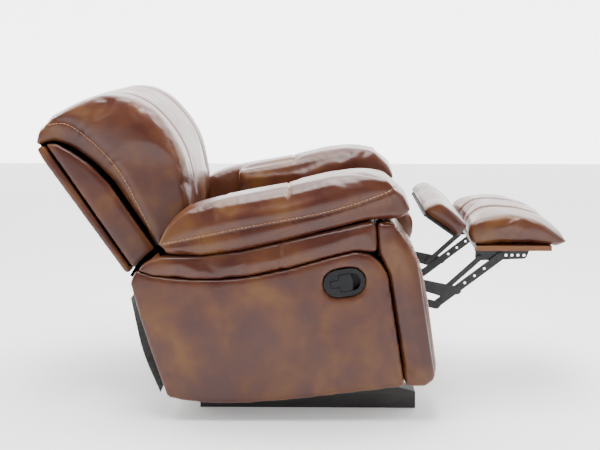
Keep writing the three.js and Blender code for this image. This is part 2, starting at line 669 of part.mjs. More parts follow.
function seatCushion() {
  const top = SEAT_TOP;
  const outline = [
    [SEAT_REAR, SEAT_UNDERSIDE, 10], [SEAT_FRONT - 50, SEAT_UNDERSIDE, 20],
    [SEAT_FRONT - 10, SEAT_UNDERSIDE + 45, 20], [SEAT_FRONT, top - 38, 20],
    [SEAT_FRONT - 20, top - 4, 20], [SEAT_FRONT - 60, top, 20], [100, top - 3],
    [-110, top - 23], [SEAT_REAR, top - 53, 15],
  ];
  return across(outline, -SEAT_HALF_WIDTH, SEAT_HALF_WIDTH, 0, 12);
}

// ---- Back, drawn upright about its pivot ----

// Rear-to-front line over the top of the upholstered frame, where the cushion meets it.
const backCrown = (inset) => [
  [27 - inset, 330], [14 - inset, 400 - inset], [-10 - inset, BACK_HEIGHT - 65 - inset],
  [-34 - inset * 0.7, BACK_HEIGHT - 19 - inset], [-60, BACK_HEIGHT - 3 - inset],
];

function buildBack(back) {
  addPair(back, 'back_stile', backStile, wood);
  const rail = (bottom, top, halfWidth) => box(-halfWidth, halfWidth,
    BACK_FRAME_REACH, [bottom, top]);
  const railHalfWidth = BACK_HALF_WIDTH - BACK_FRAME_INSET - STILE_WIDTH - GAP;
  addPiece(back, 'back_bottom_rail', rail(BACK_RAIL_BOTTOM, BACK_RAIL_BOTTOM + 45, railHalfWidth),
    wood);
  addPiece(back, 'back_top_rail', rail(BACK_FRAME_TOP - 42, BACK_FRAME_TOP, railHalfWidth), wood);
  addPiece(back, 'back_spring_mat', backSprings(railHalfWidth), springSteel);
  addPiece(back, 'back_rear_panel', rearPanel(), leather);
  addPair(back, 'back_side_border', backSideBorder, leather);
  addPiece(back, 'back_top_border', backTopBorder(), leather);
  addPiece(back, 'back_cushion', backCushion(), leather);
  addPair(back, 'back_bracket', backBracket, blackSteel);
}

// A wooden post with a shoulder and a foot that drops between the arms to the steel bracket.
function backStile(side) {
  const outer = BACK_HALF_WIDTH - BACK_FRAME_INSET;
  const shoulder = [BACK_BOTTOM - 2, BACK_RAIL_BOTTOM - GAP];
  return carve([
    box(outer - STILE_WIDTH, outer, BACK_FRAME_REACH, [shoulder[0], BACK_FRAME_TOP], side),
    box(BACK_FOOT_INNER, outer, BACK_FRAME_REACH, shoulder, side),
    box(BACK_FOOT_INNER, BACK_FOOT_OUTER, BACK_FRAME_REACH, [-30, BORDER_BOTTOM - GAP], side),
  ]);
}

function backBracket(side) {
  const inner = BACK_FOOT_OUTER + 1;
  const outer = inner + STEEL;
  const outline = [
    [-16, -14, 12], [16, -14, 12], [8, 40], [-18, BACK_BOTTOM - 6, 10], [-54, BACK_BOTTOM - 6, 10],
    [-54, 10, 10],
  ];
  return carve([
    across(outline, inner, outer, side),
    pin([0, 0], RECLINE_PIN_RADIUS, outer - 1, MECHANISM_LAYER + STEEL + 1.6, side),
    pin([0, 0], RECLINE_PIN_RADIUS + 4, outer - 1, outer + 2.5, side),
  ]);
}

function backSprings(halfWidth) {
  const depth = BACK_FRAME_REACH[1] + SPRING_WIRE + GAP;
  const waves = 7;
  const zigzag = (up) => {
    const points = [];
    for (let i = 0; i <= 2 * waves; i++) {
      const x = halfWidth * (i / waves - 1);
      points.push([x, depth, up + (i % 2 ? 22 : -22)]);
    }
    return rod(points, SPRING_WIRE, 4 * waves, 4);
  };
  const lace = (x) => rod([[x, depth, 140], [x, depth, 280], [x, depth, 425]], SPRING_WIRE, 2, 4);
  return carve([zigzag(190), zigzag(290), zigzag(390), lace(-90), lace(90)]);
}

function rearPanel() {
  const front = BACK_REAR + 24;
  const outline = [
    [BACK_REAR + 2, BACK_BOTTOM - 2, 6], [front, BACK_BOTTOM - 2, 4],
    [front, BACK_HEIGHT - 4, 4], [BACK_REAR, BACK_HEIGHT - 2, 10],
    [BACK_REAR - 4, BACK_HEIGHT - 40],
  ];
  return across(outline, -BACK_HALF_WIDTH + 2, BACK_HALF_WIDTH - 2, 0, 4);
}

// The padded band down one side of the back.
function backSideBorder(side) {
  const rear = BACK_REAR + 28;
  const outline = [[rear, BORDER_BOTTOM], [27, BORDER_BOTTOM], ...backCrown(0)];
  return across(outline, BACK_HALF_WIDTH - BORDER, BACK_HALF_WIDTH, side);
}

// The band over the top of the back, between the side bands.
function backTopBorder() {
  const inner = backCrown(BORDER - 4).map(([forward, up]) => [forward + 4, up]).reverse();
  const half = BACK_HALF_WIDTH - BORDER - GAP;
  return across([...backCrown(0), ...inner], -half, half);
}

function backCushion() {
  const front = BACK_CUSHION_FRONT;
  const bottom = BACK_BOTTOM - 5;
  const height = BACK_HEIGHT;
  const outline = [
    [29, bottom, 10], [front - 140, bottom, 20], [front - 72, bottom + 60, 30],
    [front - 25, bottom + 155, 30], [front - 2, bottom + 230, 30], [front, height - 150, 30],
    [front - 16, height - 80, 30], [front - 46, height - 20, 20], [front - 88, height + 6],
    [front - 136, height + 28], [58, height + 44, 20], [-22, height + 50, 20],
    [-62, height + 40, 14], [BACK_REAR, height + 14, 8], [BACK_REAR, height + 2, 4],
    ...backCrown(-2).reverse().map(([forward, up]) => [forward, up + 1]),
  ];
  return across(outline, -BACK_HALF_WIDTH + 3, BACK_HALF_WIDTH - 3, 0, 4);
}

// ---- Footrest linkage ----

// A link plate over two or three pivots, with plain holes, headed pins and round bosses.
function linkPlate(pivots, layer, side, features) {
  const { halfWidth = LINK_HALF_WIDTH, holes = [], pins = [], bosses = [], drilled = [] } = features;
  const outer = layer + STEEL;
  const strips = pivots.map((pivot, i) =>
    across(stripShape(pivot, pivots[(i + 1) % pivots.length], halfWidth), layer, outer, side));
  const joined = pivots.length === 2 ? strips.slice(0, 1) : strips;
  for (const [place, farLayer] of pins) {
    const away = Math.sign(farLayer - layer);
    const near = away > 0 ? outer - 1 : layer + 1;
    const headFrom = away > 0 ? farLayer + STEEL + HEAD_GAP : farLayer - HEAD_GAP;
    joined.push(pin(place, PIN_RADIUS, near, headFrom + away, side));
    joined.push(pin(place, PIN_RADIUS + 2.5, headFrom, headFrom + away * RIVET_HEAD, side));
  }
  for (const [place, away] of bosses) {
    const face = away > 0 ? outer : layer;
    joined.push(pin(place, PIN_RADIUS + 2.5, face - away, face + away * RIVET_HEAD, side));
  }
  const removed = [
    ...holes.map((place) => [place, PIN_RADIUS + PIN_CLEARANCE]),
    ...drilled.map((place) => [place, 4]),
  ].map(([place, radius]) => pin(place, radius, layer - 4, outer + 4, side));
  return carve(joined, removed);
}

const between = ([fromX, fromY], [toX, toY], share) =>
  [fromX + (toX - fromX) * share, fromY + (toY - fromY) * share];

function buildLowerLinks(group) {
  addPair(group, 'lower_link', (side) => linkPlate([LOWER_PIVOT, LOWER_TIP], LOWER_LAYER, side,
    { holes: [LOWER_PIVOT, LOWER_TIP] }), blackSteel);
  const [forward, up] = between(LOWER_PIVOT, LOWER_TIP, DRIVE_TUBE_PLACE);
  const half = DRIVE_TUBE_SIZE / 2;
  addPiece(group, 'drive_tube', box(-LOWER_LAYER + GAP, LOWER_LAYER - GAP,
    [forward - half, forward + half], [up - half, up + half]), blackSteel);
}

function buildUpperLinks(group) {
  addPair(group, 'upper_link', (side) => linkPlate([UPPER_PIVOT, CROSSING, SHORT_ROOT],
    UPPER_LAYER, side, { holes: [UPPER_PIVOT, SHORT_ROOT], bosses: [[CROSSING, 1]] }),
  blackSteel);
}

function buildDiagonalLinks(group) {
  addPair(group, 'diagonal_link', (side) => linkPlate([LOWER_TIP, FRONT_PIVOT],
    DIAGONAL_LAYER, side, {
      pins: [[LOWER_TIP, LOWER_LAYER], [FRONT_PIVOT, BRACKET_LAYER]],
      bosses: [[CROSSING, -1]],
      drilled: [0.45, 0.6, 0.75].map((share) => between(LOWER_TIP, FRONT_PIVOT, share)),
    }), blackSteel);
}

function buildShortLinks(group) {
  addPair(group, 'short_link', (side) => linkPlate([SHORT_ROOT, REAR_PIVOT],
    DIAGONAL_LAYER, side, {
      halfWidth: SHORT_LINK_HALF_WIDTH,
      pins: [[SHORT_ROOT, UPPER_LAYER]],
      bosses: [[REAR_PIVOT, 1]],
    }), blackSteel);
}

// Footrest pieces are drawn with the pad's rear lower corner as origin, the board level.
function toFootrest([forward, up]) {
  const angle = degToRad(FOOTREST_SLOPE);
  const [x, y] = [forward - FOOTREST_ORIGIN[0], up - FOOTREST_ORIGIN[1]];
  return [x * Math.cos(angle) - y * Math.sin(angle), x * Math.sin(angle) + y * Math.cos(angle)];
}

function buildFootrest(footrest) {
  addPair(footrest, 'footrest_bracket', footrestBracket, blackSteel);
  const half = FOOTREST_WIDTH / 2;
  addPiece(footrest, 'footrest_board', box(-half + 9, half - 9,
    [12, FOOTREST_LENGTH - 60], [BOARD_TOP - BOARD_PLY, BOARD_TOP]), wood);
  const bottom = BOARD_TOP + SOFT_GAP;
  const top = bottom + FOOTREST_THICKNESS;
  const length = FOOTREST_LENGTH;
  const outline = [
    [-4, bottom, 8], [-17, bottom + 32, 20], [-8, top - 17, 20], [30, top - 4, 20],
    [84, top, 20], [148, top - 4, 20], [length - 85, top - 22, 20],
    [length - 30, top - 58, 20], [length, bottom + 8, 12], [length - 30, bottom, 12],
  ];
  addPiece(footrest, 'footrest_pad', across(outline, -half, half, 0, 12), leather);
}

// A steel angle with a row of holes; the diagonal link's pin turns in its front pivot hole.
function footrestBracket(side) {
  const under = BOARD_TOP - BOARD_PLY - GAP;
  const front = toFootrest(FRONT_PIVOT);
  const rear = toFootrest(REAR_PIVOT);
  const outline = [
    [rear[0] - 14, under], [rear[0] - 14, rear[1] - 10, 10], [front[0] + 78, rear[1] - 4, 8],
    [front[0] + 88, under],
  ];
  const row = [18, 36, 54, 72].map((step) => [front[0] + step, front[1] + 3]);
  const bore = (place, radius) =>
    pin(place, radius, BRACKET_LAYER - 2, BRACKET_LAYER + STEEL + 2, side);
  return carve([
    across(outline.reverse(), BRACKET_LAYER, BRACKET_LAYER + STEEL, side),
    box(BRACKET_LAYER - 22, BRACKET_LAYER + STEEL, [rear[0] - 14, front[0] + 88],
      [under - STEEL, under], side),
    pin(rear, PIN_RADIUS + 2.5, BRACKET_LAYER - RIVET_HEAD, BRACKET_LAYER + 1, side),
  ], [bore(front, PIN_RADIUS + PIN_CLEARANCE), ...row.map((place) => bore(place, 4.5))]);
}

// The middle pad is drawn hanging straight down from its seam.
function buildMiddle(middle) {
  const half = FOOTREST_WIDTH / 2;
  addPiece(middle, 'middle_board', box(-half + 14, half - 14, [-4, 3], [-MID_LENGTH + 8, -12]),
    wood);
  const outline = [
    [4, -MID_LENGTH, 8], [MID_THICKNESS - 6, -MID_LENGTH, 14],
    [4 + MID_THICKNESS, -MID_LENGTH * 0.6, 20], [4 + MID_THICKNESS, -22, 16], [20, -2, 10],
    [4, -4, 4],
  ];
  addPiece(middle, 'middle_pad', across(outline, -half, half, 0, 6), leather);
}

// ---- The chair ----

const chair = new THREE.Group();
chair.userData.datum = [0, 0];
const base = pivotGroup(chair, [0, 0]);
const carcass = pivotGroup(chair, ROCK_POINT, -ROCK_ANGLE);
const handle = pivotGroup(carcass, PADDLE_PIVOT);
const seat = pivotGroup(carcass, ROCK_POINT);
const back = pivotGroup(carcass, RECLINE_PIVOT, -RECLINE_ANGLE, true);
const lowerLinks = pivotGroup(seat, LOWER_PIVOT);
const diagonalLinks = pivotGroup(lowerLinks, LOWER_TIP);
const upperLinks = pivotGroup(seat, UPPER_PIVOT);
const shortLinks = pivotGroup(upperLinks, SHORT_ROOT);
const footrest = pivotGroup(diagonalLinks, FOOTREST_ORIGIN, FOOTREST_SLOPE, true);
const middle = pivotGroup(seat, MID_PIVOT, -MID_ANGLE, true);

buildBase(base);
buildCarcass(carcass);
addPiece(handle, 'handle_paddle', handlePaddle(), charcoalPlastic);
buildSeat(seat);
buildBack(back);
buildLowerLinks(lowerLinks);
buildUpperLinks(upperLinks);
buildDiagonalLinks(diagonalLinks);
buildShortLinks(shortLinks);
buildFootrest(footrest);
buildMiddle(middle);

// The origin is the middle of the chair's footprint, on the floor.
chair.updateMatrixWorld(true);
const bounds = new THREE.Box3().setFromObject(chair, true);
chair.position.set(-(bounds.min.x + bounds.max.x) / 2, -(bounds.min.y + bounds.max.y) / 2,
  -bounds.min.z);

export default chair;
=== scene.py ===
"""A leather rocker recliner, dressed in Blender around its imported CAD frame. Metres, +Z up.

The chair faces -Y and its right-hand side is -X. Each soft CAD solid is replaced by a padded
leather piece grown from that same solid: remeshed, smoothed, drawn in a little, swelled by cloth
pressure while its seams are held, kept clear of its neighbours, then stitched. The frame,
linkage, base and handle keep their CAD shapes.
"""

import json
import math

import bmesh
import bpy
import numpy as np
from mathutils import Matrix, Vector
from mathutils.bvhtree import BVHTree
from mathutils.kdtree import KDTree

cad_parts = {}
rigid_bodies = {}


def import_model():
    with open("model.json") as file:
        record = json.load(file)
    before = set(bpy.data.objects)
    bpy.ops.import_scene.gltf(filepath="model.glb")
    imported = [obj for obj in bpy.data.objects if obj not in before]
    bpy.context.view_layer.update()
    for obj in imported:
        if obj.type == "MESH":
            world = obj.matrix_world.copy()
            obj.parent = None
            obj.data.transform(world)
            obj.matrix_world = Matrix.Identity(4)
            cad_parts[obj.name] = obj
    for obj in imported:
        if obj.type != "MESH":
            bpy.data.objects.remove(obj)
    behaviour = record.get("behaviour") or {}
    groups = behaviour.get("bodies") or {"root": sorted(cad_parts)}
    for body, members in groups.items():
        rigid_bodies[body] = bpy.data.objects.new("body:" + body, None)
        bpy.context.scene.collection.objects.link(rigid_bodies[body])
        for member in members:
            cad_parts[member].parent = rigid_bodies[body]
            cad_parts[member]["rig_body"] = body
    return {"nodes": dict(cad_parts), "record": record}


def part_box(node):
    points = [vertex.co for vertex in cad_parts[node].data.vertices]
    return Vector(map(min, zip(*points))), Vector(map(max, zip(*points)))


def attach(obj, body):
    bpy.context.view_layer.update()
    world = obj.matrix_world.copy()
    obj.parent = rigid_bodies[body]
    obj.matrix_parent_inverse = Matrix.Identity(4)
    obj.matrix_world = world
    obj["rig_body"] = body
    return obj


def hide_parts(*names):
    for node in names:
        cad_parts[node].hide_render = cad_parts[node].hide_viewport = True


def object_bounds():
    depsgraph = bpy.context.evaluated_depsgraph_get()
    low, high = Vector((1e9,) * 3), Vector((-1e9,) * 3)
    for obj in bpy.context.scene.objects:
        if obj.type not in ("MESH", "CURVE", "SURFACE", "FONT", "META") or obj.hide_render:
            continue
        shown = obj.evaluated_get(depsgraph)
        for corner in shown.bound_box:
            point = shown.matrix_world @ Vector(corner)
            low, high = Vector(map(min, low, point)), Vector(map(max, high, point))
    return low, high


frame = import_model()
CAD_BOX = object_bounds()
NODES = frame["nodes"]

MM = 0.001
LEAN = math.radians(5)              # how far the chair is rocked back at rest
BACK_LEAN = math.radians(29)        # of the back, in the chair's level frame
ROCK_POINT = (-30, 68)              # forward, up
RECLINE_PIVOT = (-420, 420)
LOW = CAD_BOX[0]

# Forward datum: the CAD frame is centred on its footprint, so the offset comes from the runner.
RUNNER_REAR = -350
DATUM_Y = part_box("base_rail_right")[1].y / MM + RUNNER_REAR

THREAD_RADIUS = 0.0012
STITCH_LENGTH = 0.0090
STITCH_PITCH = 0.0112
SEAM_TO_STITCH = 0.006
SEAM_HOLD = 0.007                   # how far a seam holds the leather beside it
CLOTH_FRAMES = 16
STAGE_SIZE = 80
BACKDROP_PLACE = 6
FLOOR_GLOW = 0.30
BACKDROP_GLOW = 4.0
CAMERA_LENS = 70.2
CAMERA_PLACE = (-3.698, DATUM_Y * MM, 1.121)
CAMERA_PITCH = math.radians(9.6)    # downwards
CAMERA_YAW = math.radians(0.88)     # towards the rear
CLEARANCE = 0.0004                  # kept between two leather pieces


# ---- Places ----

def from_level(x, forward, up):
    """A point of the chair's level frame, in millimetres, as a place in the scene."""
    f, u = forward - ROCK_POINT[0], up - ROCK_POINT[1]
    ahead = ROCK_POINT[0] + f * math.cos(LEAN) - u * math.sin(LEAN)
    above = ROCK_POINT[1] + f * math.sin(LEAN) + u * math.cos(LEAN)
    return Vector((x, DATUM_Y - ahead, above)) * MM


def from_back(x, ahead, along):
    """A point of the back's own upright frame: ahead of its pivot, and along it."""
    forward = RECLINE_PIVOT[0] + ahead * math.cos(BACK_LEAN) - along * math.sin(BACK_LEAN)
    up = RECLINE_PIVOT[1] + ahead * math.sin(BACK_LEAN) + along * math.cos(BACK_LEAN)
    return from_level(x, forward, up)


# ---- Materials ----

class Shader:
    """A node material written as a chain of short calls."""

    def __init__(self, name):
        self.material = bpy.data.materials.new(name)
        self.material.use_nodes = True
        self.tree = self.material.node_tree
        self.surface = self.tree.nodes["Principled BSDF"]
        self.place = self.tree.nodes.new("ShaderNodeTexCoord").outputs["Object"]

    def set(self, **values):
        for name, value in values.items():
            self.surface.inputs[name.replace("_", " ")].default_value = value
        return self

    def feed(self, socket, output):
        self.tree.links.new(output, self.surface.inputs[socket])

    def noise(self, scale, detail=4, distortion=0.0, stretch=None):
        node = self.tree.nodes.new("ShaderNodeTexNoise")
        node.inputs["Scale"].default_value = scale
        node.inputs["Detail"].default_value = detail
        node.inputs["Distortion"].default_value = distortion
        self.tree.links.new(self.stretched(stretch), node.inputs["Vector"])
        return node.outputs["Fac"]

    def cells(self, scale):
        node = self.tree.nodes.new("ShaderNodeTexVoronoi")
        node.feature = "DISTANCE_TO_EDGE"
        node.inputs["Scale"].default_value = scale
        self.tree.links.new(self.place, node.inputs["Vector"])
        return node.outputs["Distance"]

    def stretched(self, stretch):
        if stretch is None:
            return self.place
        node = self.tree.nodes.new("ShaderNodeMapping")
        node.inputs["Scale"].default_value = stretch
        self.tree.links.new(self.place, node.inputs["Vector"])
        return node.outputs["Vector"]

    def ramp(self, value, *stops):
        node = self.tree.nodes.new("ShaderNodeValToRGB")
        elements = node.color_ramp.elements
        while len(elements) < len(stops):
            elements.new(0.5)
        for element, (position, color) in zip(elements, stops):
            element.position = position
            element.color = (*color, 1) if len(color) == 3 else color
        self.tree.links.new(value, node.inputs["Fac"])
        return node.outputs["Color"]

    def span(self, value, low, high, from_low=0.0, from_high=1.0):
        node = self.tree.nodes.new("ShaderNodeMapRange")
        for socket, number in (("From Min", from_low), ("From Max", from_high),
                               ("To Min", low), ("To Max", high)):
            node.inputs[socket].default_value = number
        self.tree.links.new(value, node.inputs["Value"])
        return node.outputs["Result"]

    def mix(self, share, first, second):
        node = self.tree.nodes.new("ShaderNodeMix")
        node.data_type = "RGBA"
        for socket, value in ((node.inputs[0], share), (node.inputs[6], first),
                              (node.inputs[7], second)):
            if isinstance(value, bpy.types.NodeSocket):
                self.tree.links.new(value, socket)
            else:
                socket.default_value = value
        return node.outputs[2]

    def bump(self, *layers):
        """Layers of (height, depth in metres), coarsest first."""
        normal = None
        for height, depth in layers:
            node = self.tree.nodes.new("ShaderNodeBump")
            node.inputs["Strength"].default_value = 1.0
            node.inputs["Distance"].default_value = depth
            self.tree.links.new(height, node.inputs["Height"])
            if normal is not None:
                self.tree.links.new(normal, node.inputs["Normal"])
            normal = node.outputs["Normal"]
        self.feed("Normal", normal)
        return self

    # Pointiness: high on bends for the pull-up paling, low in creases for the painted shade there.
    def edge_wear_and_crease_shade(self):
        return self.tree.nodes.new("ShaderNodeNewGeometry").outputs["Pointiness"]


def leather_material():
    """Waxed pull-up leather: soft tan clouds on red-brown, paler where a bend stretches it, with painted
    shade darkening it in creases and hollows.
    """
    shader = Shader("leather")
    clouds = shader.noise(10, detail=2.5, distortion=0.3)
    regions = shader.noise(3.4, detail=2, distortion=0.2)
    tan = shader.ramp(clouds, (0.36, (0.062, 0.0170, 0.0100)), (0.50, (0.088, 0.0270, 0.0105)),
                      (0.62, (0.112, 0.0420, 0.0105)), (0.75, (0.130, 0.0530, 0.0120)))
    plum = shader.ramp(clouds, (0.36, (0.048, 0.0110, 0.0070)), (0.55, (0.064, 0.0160, 0.0080)),
                       (0.72, (0.095, 0.0290, 0.0090)))
    color = shader.mix(shader.span(regions, 0.0, 0.85, 0.40, 0.60), tan, plum)
    stretched = shader.span(shader.edge_wear_and_crease_shade(), 0.0, 0.45, 0.52, 0.62)
    color = shader.mix(stretched, color, (0.230, 0.088, 0.024, 1))
    # Painted shade: where pointiness is low, in creases and hollows, the colour is mixed towards
    # near-black.
    painted_crease_shade = shader.span(shader.edge_wear_and_crease_shade(), 0.75, 0.0, 0.30, 0.44)
    color = shader.mix(painted_crease_shade, color, (0.010, 0.0030, 0.0018, 1))
    shader.feed("Base Color", color)
    shader.feed("Roughness", shader.span(clouds, 0.30, 0.42, 0.35, 0.65))
    shader.set(Coat_Weight=0.12, Coat_Roughness=0.14, Specular_IOR_Level=0.40, IOR=1.45)
    return shader.bump(
        (shader.noise(9, detail=3, distortion=0.4), 0.0022),
        (shader.noise(46, detail=4, distortion=0.6, stretch=(1, 1, 1.8)), 0.00040),
        (shader.cells(380), 0.00016),
        (shader.noise(900, detail=2), 0.00004),
    ).material


def thread_material():
    shader = Shader("thread")
    shader.feed("Base Color", shader.ramp(shader.noise(260, detail=3),
                                          (0.35, (0.42, 0.18, 0.065)), (0.7, (0.64, 0.34, 0.15))))
    shader.set(Roughness=0.7, Sheen_Weight=0.3)
    return shader.bump((shader.noise(1400, detail=2, stretch=(1, 3, 1)), 0.0002)).material


def plastic_material():
    shader = Shader("charcoal_plastic")
    shader.feed("Base Color", shader.ramp(shader.noise(30, detail=3),
                                          (0.3, (0.007, 0.0072, 0.0085)), (0.7, (0.011, 0.0115, 0.0135))))
    shader.feed("Roughness", shader.span(shader.noise(60, detail=4), 0.36, 0.52))
    shader.set(Specular_IOR_Level=0.22)
    return shader.bump((shader.cells(1500), 0.00006)).material


def steel_material(name, color, roughness, metallic):
    shader = Shader(name)
    dark = tuple(0.72 * channel for channel in color)
    shader.feed("Base Color", shader.ramp(shader.noise(45, detail=6), (0.3, dark), (0.7, color)))
    shader.feed("Roughness", shader.span(shader.noise(120, detail=5), roughness - 0.1,
                                         roughness + 0.12))
    shader.set(Metallic=metallic)
    return shader.bump((shader.noise(700, detail=3), 0.00006)).material


def wood_material(name, pale, dark, roughness=0.65):
    shader = Shader(name)
    grain = shader.noise(14, detail=8, distortion=2.2, stretch=(1, 0.12, 2.6))
    shader.feed("Base Color", shader.ramp(grain, (0.32, dark), (0.66, pale)))
    shader.feed("Roughness", shader.span(grain, roughness - 0.08, roughness + 0.1))
    return shader.bump((grain, 0.0009)).material


def cloth_material():
    """Thin black cambric with a fine weave."""
    shader = Shader("black_cloth")
    weave = shader.tree.nodes.new("ShaderNodeTexWave")
    weave.inputs["Scale"].default_value = 420
    shader.tree.links.new(shader.place, weave.inputs["Vector"])
    shader.feed("Base Color", shader.ramp(shader.noise(24, detail=5),
                                          (0.3, (0.008, 0.008, 0.009)), (0.7, (0.022, 0.022, 0.024))))
    shader.set(Roughness=0.85, Sheen_Weight=0.25)
    return shader.bump((shader.noise(16, detail=4, distortion=1.8, stretch=(1, 1, 0.35)), 0.006),
                       (weave.outputs["Fac"], 0.0002)).material


def stage_material(name, glow):
    """Plain white that also glows a little, for the floor and the backdrop."""
    shader = Shader(name)
    shader.feed("Base Color", shader.ramp(shader.noise(3, detail=2),
                                          (0.0, (0.88, 0.88, 0.88)), (1.0, (0.91, 0.91, 0.91))))
    return shader.set(Roughness=0.7, Emission_Color=(1, 1, 1, 1), Emission_Strength=glow).material


LEATHER = leather_material()
THREAD = thread_material()
PLASTIC = plastic_material()
BLACK_STEEL = steel_material("black_steel", (0.030, 0.030, 0.032), 0.38, 0.6)
SPRING_STEEL = steel_material("spring_steel", (0.46, 0.46, 0.47), 0.34, 1.0)
WOOD = wood_material("wood", (0.22, 0.14, 0.075), (0.11, 0.065, 0.035))
BASE_WOOD = wood_material("base_wood", (0.040, 0.038, 0.038), (0.016, 0.015, 0.015))
CLOTH = cloth_material()

SLOT_MATERIALS = {
    "leather": LEATHER, "thread": THREAD, "charcoal_plastic": PLASTIC,
    "black_steel": BLACK_STEEL, "spring_steel": SPRING_STEEL, "wood": WOOD,
    "base_wood": BASE_WOOD, "black_cloth": CLOTH,
}


WRAPPED = {"footrest_board": LEATHER, "middle_board": CLOTH}   # boards covered all round


def dress_cad():
    """Gives every CAD node the detailed material of its slot."""
    for part in frame["record"]["subparts"]:
        obj = NODES[part["node"]]
        obj.data.materials.clear()
        slot = part["material_slot"]
        obj.data.materials.append(WRAPPED.get(part["node"], SLOT_MATERIALS[slot]))


# ---- Meshes ----

def new_object(name, mesh):
    obj = bpy.data.objects.new(name, mesh)
    bpy.context.scene.collection.objects.link(obj)
    return obj


def built(name, mesh, material, smooth=False):
    """The object of a finished bmesh."""
    data = bpy.data.meshes.new(name)
    mesh.to_mesh(data)
    mesh.free()
    data.materials.append(material)
    for polygon in data.polygons:
        polygon.use_smooth = smooth
    return new_object(name, data)


def points_of(mesh):
    flat = np.empty(3 * len(mesh.vertices))
    mesh.vertices.foreach_get("co", flat)
    return flat.reshape(-1, 3)


def set_points(mesh, points):
    mesh.vertices.foreach_set("co", np.asarray(points, dtype=float).ravel())
    mesh.update()


def normals_of(mesh):
    flat = np.empty(3 * len(mesh.vertices))
    mesh.vertex_normals.foreach_get("vector", flat)
    return flat.reshape(-1, 3)


def applied(obj):
    """The object's mesh with its modifiers made real."""
    graph = bpy.context.evaluated_depsgraph_get()
    mesh = bpy.data.meshes.new_from_object(obj.evaluated_get(graph))
    old = obj.data
    obj.modifiers.clear()
    obj.data = mesh
    bpy.data.meshes.remove(old)
    return mesh


def remeshed(obj, voxel):
    modifier = obj.modifiers.new("remesh", "REMESH")
    modifier.mode = "VOXEL"
    modifier.voxel_size = voxel
    modifier.use_smooth_shade = True
    return applied(obj)


def smoothed(mesh, rounds, share=0.5):
    """Evens the surface: each point goes a share of the way to its neighbours' middle."""
    points = points_of(mesh)
    edges = np.empty(2 * len(mesh.edges), dtype=np.int64)
    mesh.edges.foreach_get("vertices", edges)
    a, b = edges.reshape(-1, 2).T
    count = np.bincount(np.r_[a, b], minlength=len(points))[:, None]
    for _ in range(rounds):
        total = np.zeros_like(points)
        np.add.at(total, a, points[b])
        np.add.at(total, b, points[a])
        points += share * (total / count - points)
    set_points(mesh, points)


def distance_to(points, path):
    """Each point's distance from a polyline."""
    path = np.asarray(path, dtype=float)
    best = np.full(len(points), np.inf)
    for start, end in zip(path[:-1], path[1:]):
        run = end - start
        along = np.clip(((points - start) @ run) / max(run @ run, 1e-12), 0, 1)
        best = np.minimum(best, np.linalg.norm(points - start - along[:, None] * run, axis=1))
    return best


def spline(controls, count):
    """A smooth curve through the control points (Catmull-Rom), evenly stepped."""
    pts = [np.asarray(p, dtype=float) for p in controls]
    pts = [2 * pts[0] - pts[1]] + pts + [2 * pts[-1] - pts[-2]]
    fine = []
    for i in range(1, len(pts) - 2):
        p0, p1, p2, p3 = pts[i - 1:i + 3]
        for t in np.linspace(0, 1, 24, endpoint=False):
            fine.append(0.5 * (2 * p1 + (p2 - p0) * t + (2 * p0 - 5 * p1 + 4 * p2 - p3) * t * t
                               + (3 * p1 - p0 - 3 * p2 + p3) * t ** 3))
    fine.append(pts[-2])
    fine = np.array(fine)
    reach = np.r_[0, np.cumsum(np.linalg.norm(np.diff(fine, axis=0), axis=1))]
    where = np.linspace(0, reach[-1], count)
    return np.column_stack([np.interp(where, reach, fine[:, k]) for k in range(fine.shape[1])])


def laid_on(mesh, path, towards):
    """The path pushed along `towards` until it lies on the mesh, with the surface's normals."""
    tree = BVHTree.FromPolygons([v.co for v in mesh.vertices],
                                [p.vertices for p in mesh.polygons])
    aim = Vector(towards).normalized()
    places, normals = [], []
    for point in path:
        hit, normal, _, _ = tree.ray_cast(Vector(point) - aim * 0.25, aim)
        if hit is None:
            hit, normal, _, _ = tree.find_nearest(Vector(point))
        places.append(hit)
        normals.append(normal)
    return np.array(places), np.array(normals)


# ---- Soft pieces ----

def groove(mesh, path, depth, width):
    """Sinks a seam's line into the surface."""
    points = points_of(mesh)
    near = distance_to(points, path)
    sink = depth * np.exp(-(near / width) ** 2)
    set_points(mesh, points - normals_of(mesh) * sink[:, None])


def gathers(mesh, path, height, reach, pitch, seed):
    """Small folds that run away from a seam, uneven in height and spacing."""
    points = points_of(mesh)
    path = np.asarray(path)
    tree = KDTree(len(path))
    for i, p in enumerate(path):
        tree.insert(p, i)
    tree.balance()
    steps = np.r_[0, np.cumsum(np.linalg.norm(np.diff(path, axis=0), axis=1))]
    random = np.random.default_rng(seed)
    phases = random.uniform(0, 2 * math.pi, 4)
    lift = np.zeros(len(points))
    close = distance_to(points, path[::3]) < 3 * reach
    for i in np.flatnonzero(close):
        _, index, distance = tree.find(points[i])
        s = steps[index]
        wave = (math.sin(2 * math.pi * s / pitch + phases[0] + 2 * math.sin(s / pitch + phases[1]))
                + 0.6 * math.sin(2 * math.pi * s / (0.57 * pitch) + phases[2]))
        patch = 0.55 + 0.45 * math.sin(2 * math.pi * s / (5.3 * pitch) + phases[3])
        lift[i] = height * wave * patch * math.exp(-(distance / reach) ** 2)
    set_points(mesh, points + normals_of(mesh) * lift[:, None])


